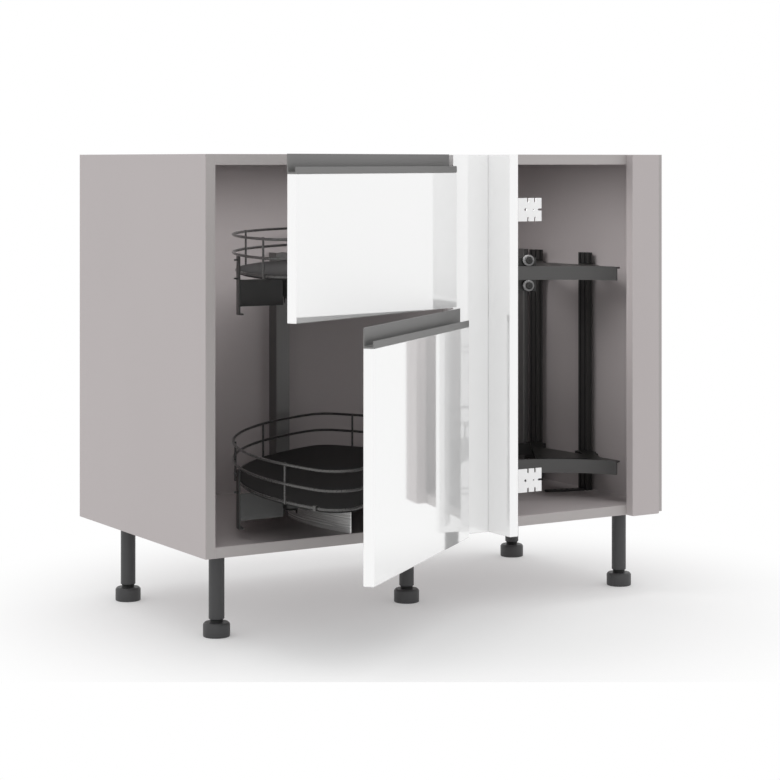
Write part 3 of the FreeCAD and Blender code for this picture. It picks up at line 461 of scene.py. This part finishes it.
def turned(name, profile, sides):
    form = bmesh.new()
    rings = []
    for r, z in profile:
        if r < ON_AXIS:
            rings.append([form.verts.new((0.0, 0.0, z))])
            continue
        ring = []
        for i in range(sides):
            a = 2 * math.pi * i / sides
            ring.append(form.verts.new((r * math.cos(a), r * math.sin(a), z)))
        rings.append(ring)
    for a, b in zip(rings, rings[1:]):
        for i in range(sides):
            j = (i + 1) % sides
            if len(a) == 1 and len(b) == 1:
                continue
            if len(a) == 1:
                form.faces.new((a[0], b[j], b[i]))
            elif len(b) == 1:
                form.faces.new((a[i], a[j], b[0]))
            else:
                form.faces.new((a[i], a[j], b[j], b[i]))
    bmesh.ops.recalc_face_normals(form, faces=form.faces)
    for face in form.faces:
        face.smooth = True
    mesh = bpy.data.meshes.new(name)
    form.to_mesh(mesh)
    form.free()
    mesh.set_sharp_from_angle(angle=math.radians(SHARP_ABOVE))
    return mesh


def leg_centres():
    low, high = (Vector(corner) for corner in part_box("leg_feet"))
    left = low.x + FOOT_R
    right = high.x - FOOT_R
    front = low.y + FOOT_R
    rear = high.y - FOOT_R
    return [(left, front), (right, front), (left, rear), (right, rear), MIDDLE_LEG]


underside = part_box("leg_flanges")[1][2]
flange_z = underside - FLANGE_T
tube_low = FOOT_H + NECK_SHOW
profiles = {
    "leg_flanges": [(0, flange_z), (FLANGE_R - FLANGE_EASE, flange_z),
                    (FLANGE_R, flange_z + FLANGE_EASE), (FLANGE_R, underside - FLANGE_LIP),
                    (FLANGE_R - FLANGE_LIP, underside), (0, underside)],
    "leg_tubes": [(TUBE_R - TUBE_WALL, tube_low), (TUBE_R - TUBE_EASE, tube_low),
                  (TUBE_R, tube_low + TUBE_EASE), (TUBE_R, flange_z),
                  (TUBE_R - TUBE_WALL, flange_z), (TUBE_R - TUBE_WALL, tube_low)],
    "leg_feet": ([(0, 0)] + [(FOOT_R - inset, up) for inset, up in FOOT_SOLE]
                 + [(FOOT_R - inset, FOOT_H - down) for inset, down in FOOT_BROW]
                 + [(0, FOOT_H)]),
}
for node, profile in profiles.items():
    for number, (x, y) in enumerate(leg_centres()):
        mesh = turned(node, profile, LEG_SIDES)
        if node == "leg_tubes":
            for vertex in mesh.vertices:
                a = math.atan2(vertex.co.y, vertex.co.x)
                if math.hypot(vertex.co.x, vertex.co.y) > TUBE_R - RIB_RIM:
                    grow = 1.0 - RIB_DEPTH / TUBE_R * (0.5 + 0.5 * math.cos(RIBS * a))
                    vertex.co.x *= grow
                    vertex.co.y *= grow
        mesh.transform(Matrix.Translation((x, y, 0.0)))
        thing = piece("%s_%d" % (node, number), mesh, leg_plastic, "carcass")
        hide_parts(node)


# ---- Leg necks ----
# Each foot has a screw-in neck of black plastic with a cut thread. It shows for a few
# millimetres between the foot and the tube.
NECK_BLACK = (0.012, 0.012, 0.012, 1.0)
NECK_R = 0.0118
NECK_INSIDE = 0.004
NECK_SINK = 0.0005
THREAD_PITCH = 0.0012
THREAD_DEPTH = 0.0004

neck_plastic = speckled(
    "black thread", NECK_BLACK, amount=0.1, grain=900.0, depth=0.3, rough_low=0.5,
    rough_high=0.65)
for number, (x, y) in enumerate(leg_centres()):
    top = tube_low + NECK_INSIDE
    turns = int((top - FOOT_H) / THREAD_PITCH)
    profile = [(0, FOOT_H - NECK_SINK)]
    for i in range(turns):
        z = FOOT_H - NECK_SINK + i * THREAD_PITCH
        profile += [(NECK_R - THREAD_DEPTH, z), (NECK_R, z + THREAD_PITCH / 2)]
    profile += [(NECK_R - THREAD_DEPTH, top), (0, top)]
    mesh = turned("neck", profile, LEG_SIDES)
    mesh.transform(Matrix.Translation((x, y, 0.0)))
    piece("leg_neck_%d" % number, mesh, neck_plastic, "carcass")


# ---- Filler brackets ----
# White powder-coated plates tie the corner filler to the stile, with drilled holes and
# notches for screws. They stay as the CAD has them, with a fine coat texture.
BRACKET_WHITE = (0.88, 0.88, 0.88, 1.0)

bracket_coat = speckled(
    "white powder coat", BRACKET_WHITE, amount=0.02, grain=1500.0, depth=0.2,
    rough_low=0.4, rough_high=0.5)
dress(["upper_filler_bracket", "lower_filler_bracket"], bracket_coat)


# ---- Hinges ----
# Nickel-plated concealed hinges: pressed cups in the doors, arms on screwed plates on
# the back of the stile.
NICKEL = (0.55, 0.55, 0.54, 1.0)

nickel = drawn_metal(
    "nickel plate", NICKEL, amount=0.08, stretch=(60.0, 60.0, 900.0), depth=0.08,
    rough_low=0.18, rough_high=0.3, metallic=1.0)
dress(["upper_hinge_cups", "lower_hinge_cups", "upper_hinge_arms", "lower_hinge_arms"], nickel)


# ---- Posts ----
# The fitting hangs on posts of dark powder-coated steel and grooved aluminium between
# the bottom panel and the upper rail.
POST_DARK = (0.065, 0.065, 0.063, 1.0)
POST_GREY = (0.16, 0.158, 0.155, 1.0)
BLACK_STEEL = (0.022, 0.022, 0.021, 1.0)

post_paint = drawn_metal(
    "dark drawn profile", POST_DARK, amount=0.15, stretch=(1500.0, 1500.0, 5.0),
    depth=0.15, rough_low=0.28, rough_high=0.4, metallic=0.6)
plate_paint = drawn_metal(
    "grey drawn plate", POST_GREY, amount=0.12, stretch=(1500.0, 1500.0, 5.0),
    depth=0.12, rough_low=0.3, rough_high=0.42, metallic=0.35)
black_steel = speckled(
    "black powder coat", BLACK_STEEL, amount=0.12, grain=1400.0, depth=0.25,
    rough_low=0.3, rough_high=0.42, metallic=0.25)
dress(["front_rail_post", "rear_rail_post"], post_paint)
dress(["rear_plate_post", "beam_post"], plate_paint)
dress(["post_feet"], black_steel)


# ---- Curved rails and plates ----
# Each tray runs on a rolled flat steel rail round the corner, lacquered mid grey. The
# sheet that carries it and its clamps are black.
RAIL_GREY = (0.08, 0.079, 0.078, 1.0)

rail_paint = drawn_metal(
    "grey rail lacquer", RAIL_GREY, amount=0.08, stretch=(12.0, 12.0, 1400.0),
    depth=0.1, rough_low=0.25, rough_high=0.36, metallic=0.5)
for level in ("upper", "lower"):
    dress([level + "_curved_rail"], rail_paint)
    dress([level + part for part in ("_rail_plate", "_post_clamps", "_rear_tie",
                                     "_carrier_beam", "_glide_hub", "_rim_guide")],
          black_steel)


# ---- Cross plates and floor band ----
# Smooth steel plates, lacquered dark and polished, link the outer guide to the hub. A curved
# band on the bottom panel stops pans from sliding under the lower tray; its pale colour is
# painted light, lifting it out of the tray's shadow.
LACQUER = (0.07, 0.07, 0.069, 1.0)
# Pale base colour: painted light on a band that lies in the shadow under the lower tray.
BAND_PAINTED_LIGHT = (0.85, 0.85, 0.84, 1.0)

lacquer = drawn_metal(
    "dark lacquer", LACQUER, amount=0.05, stretch=(30.0, 30.0, 300.0), depth=0.03,
    rough_low=0.12, rough_high=0.2, metallic=0.8)
dress(["upper_cross_plate", "lower_cross_plate"], lacquer)
painted_light_band_steel = drawn_metal(
    "bright guide band", BAND_PAINTED_LIGHT, amount=0.05, stretch=(8.0, 8.0, 900.0),
    depth=0.05, rough_low=0.22, rough_high=0.32, metallic=0.3)
dress(["front_guide_band"], painted_light_band_steel)


# ---- Tray boards ----
# Half-round boards faced with black laminate, with a soft non-slip texture that still
# mirrors the baskets faintly.
TRAY_BLACK = (0.02, 0.02, 0.02, 1.0)

laminate = speckled(
    "black laminate", TRAY_BLACK, amount=0.1, grain=700.0, depth=0.12, rough_low=0.45,
    rough_high=0.6, specular=0.12)
dress(["upper_tray_board", "lower_tray_board"], laminate)


# ---- Baskets ----
# Each tray has a fence of bent wire: a base rim against the board, a middle and a top
# rail further out, and upright wires welded between them, all in black chrome.
WIRE_BLACK = (0.085, 0.084, 0.082, 1.0)

wire_chrome = drawn_metal(
    "black chrome wire", WIRE_BLACK, amount=0.1, stretch=(400.0, 400.0, 400.0),
    depth=0.05, rough_low=0.22, rough_high=0.34, metallic=0.6)
dress(["upper_tray_basket", "lower_tray_basket"], wire_chrome)


# ---- Carriages and rollers ----
# Under each board's inner edge a curved carriage carries four rollers on shouldered
# pins, two above and two below the rail.
ROLLER_GREY = (0.2, 0.2, 0.2, 1.0)

roller_plastic = speckled(
    "grey roller plastic", ROLLER_GREY, amount=0.08, grain=1500.0, depth=0.2,
    rough_low=0.35, rough_high=0.45)
dress([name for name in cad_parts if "_roller_" in name], roller_plastic)
dress(["upper_tray_carriage", "lower_tray_carriage"], black_steel)


# ---- Roller rims and pin sockets ----
# Each roller's outer face has a moulded rim, and each pin ends in a domed head. A thin
# near-black hexagon standing
# on the dome is painted shade: it stands for the shade inside the key socket, which is not cut.
TRAY_PIVOT = Vector((0.2, -0.234, 0.0))
PIN_HEAD_FACE = 0.2357
ROLLER_FACE = 0.239
DOME_R = 0.0058
DOME_RISE = 0.0008
SOCKET_R = 0.0024
SOCKET_SHOW = 0.00012
RIM_IN = 0.0082
RIM_OUT = 0.0098
RIM_RISE = 0.0003
RIM_EASE = 0.0002
DOME_EASE = 0.0004
DOME_FLAT = 0.0012
DOME_BREAK = 0.6
DOME_SIDES = 32
SOCKET_SIDES = 6
RIM_SIDES = 48
# Near-black: painted shade for the inside of the uncut key socket.
SOCKET_PAINTED_SHADE = (0.006, 0.006, 0.006, 1.0)

socket_painted_shade = speckled(
    "shadowed socket", SOCKET_PAINTED_SHADE, amount=0.1, grain=900.0, depth=0.1, rough_low=0.6,
    rough_high=0.7)


def facing(mesh, centre, heading):
    turn = Vector((0, 0, 1)).rotation_difference(heading).to_matrix().to_4x4()
    mesh.transform(Matrix.Translation(centre) @ turn)


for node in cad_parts:
    if "_roller_" not in node:
        continue
    low, high = (Vector(corner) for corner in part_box(node))
    middle = (low + high) / 2
    level = node.split("_")[0]
    radial = Vector((middle.x - TRAY_PIVOT.x, middle.y - TRAY_PIVOT.y, 0.0))
    radial.normalize()
    axle = Vector((TRAY_PIVOT.x, TRAY_PIVOT.y, middle.z))
    dome = turned("pin_dome", [(0, 0), (DOME_R, 0),
                               (DOME_R - DOME_EASE, DOME_RISE * DOME_BREAK),
                               (DOME_R - DOME_FLAT, DOME_RISE), (0, DOME_RISE)], DOME_SIDES)
    facing(dome, axle + radial * PIN_HEAD_FACE, -radial)
    piece(node.replace("roller", "pin") + "_dome", dome, black_steel, level + "_tray")
    socket = turned("pin_socket", [(0, 0), (SOCKET_R, 0), (SOCKET_R, DOME_RISE + SOCKET_SHOW),
                                   (0, DOME_RISE + SOCKET_SHOW)], SOCKET_SIDES)
    facing(socket, axle + radial * PIN_HEAD_FACE, -radial)
    piece(node.replace("roller", "pin") + "_socket", socket, socket_painted_shade, level + "_tray")
    rim = turned("rim", [(RIM_IN, 0), (RIM_OUT, 0), (RIM_OUT - RIM_EASE, RIM_RISE),
                         (RIM_IN + RIM_EASE, RIM_RISE), (RIM_IN, 0)], RIM_SIDES)
    facing(rim, axle + radial * ROLLER_FACE, -radial)
    piece(node + "_rim", rim, roller_plastic, node)


# ---- Clamp screws ----
# Two cap screws draw each post clamp together. Their knurled heads stand ahead of the
# clamp's front face.
CLAMP_SCREW_R = 0.0032
CLAMP_SCREW_H = 0.0025
SCREW_SIDES = 36
SCREW_BLACK = (0.06, 0.06, 0.06, 1.0)
CLAMP_SCREWS_X = (0.452, 0.476)
CLAMP_SCREW_DOWN = 0.006
CLAMP_SCREW_EASE = 0.0004
KEY_R = 0.0016
KEY_FLOOR_R = 0.0015
KEY_DEPTH = 0.001
KNURL = 0.015
KNURL_RIM = 0.0001

screw_steel = drawn_metal(
    "blackened screw", SCREW_BLACK, amount=0.1, stretch=(700.0, 700.0, 700.0),
    depth=0.1, rough_low=0.3, rough_high=0.42, metallic=0.7)
for level in ("upper", "lower"):
    low, high = (Vector(corner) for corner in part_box(level + "_post_clamps"))
    for x in CLAMP_SCREWS_X:
        profile = [(0, 0), (CLAMP_SCREW_R, 0), (CLAMP_SCREW_R, CLAMP_SCREW_H - CLAMP_SCREW_EASE),
                   (CLAMP_SCREW_R - CLAMP_SCREW_EASE, CLAMP_SCREW_H), (KEY_R, CLAMP_SCREW_H),
                   (KEY_FLOOR_R, CLAMP_SCREW_H - KEY_DEPTH), (0, CLAMP_SCREW_H - KEY_DEPTH)]
        head = turned("clamp_screw", profile, SCREW_SIDES)
        for vertex in head.vertices:
            a = math.atan2(vertex.co.y, vertex.co.x)
            if math.hypot(vertex.co.x, vertex.co.y) > CLAMP_SCREW_R - KNURL_RIM:
                vertex.co.xy *= 1.0 - KNURL * (round(a / (2 * math.pi) * SCREW_SIDES) % 2)
        facing(head, Vector((x, low.y, high.z - CLAMP_SCREW_DOWN)), Vector((0, -1, 0)))
        piece("%s_clamp_screw_%d" % (level, round(x * 1000)), head, screw_steel, "carcass")
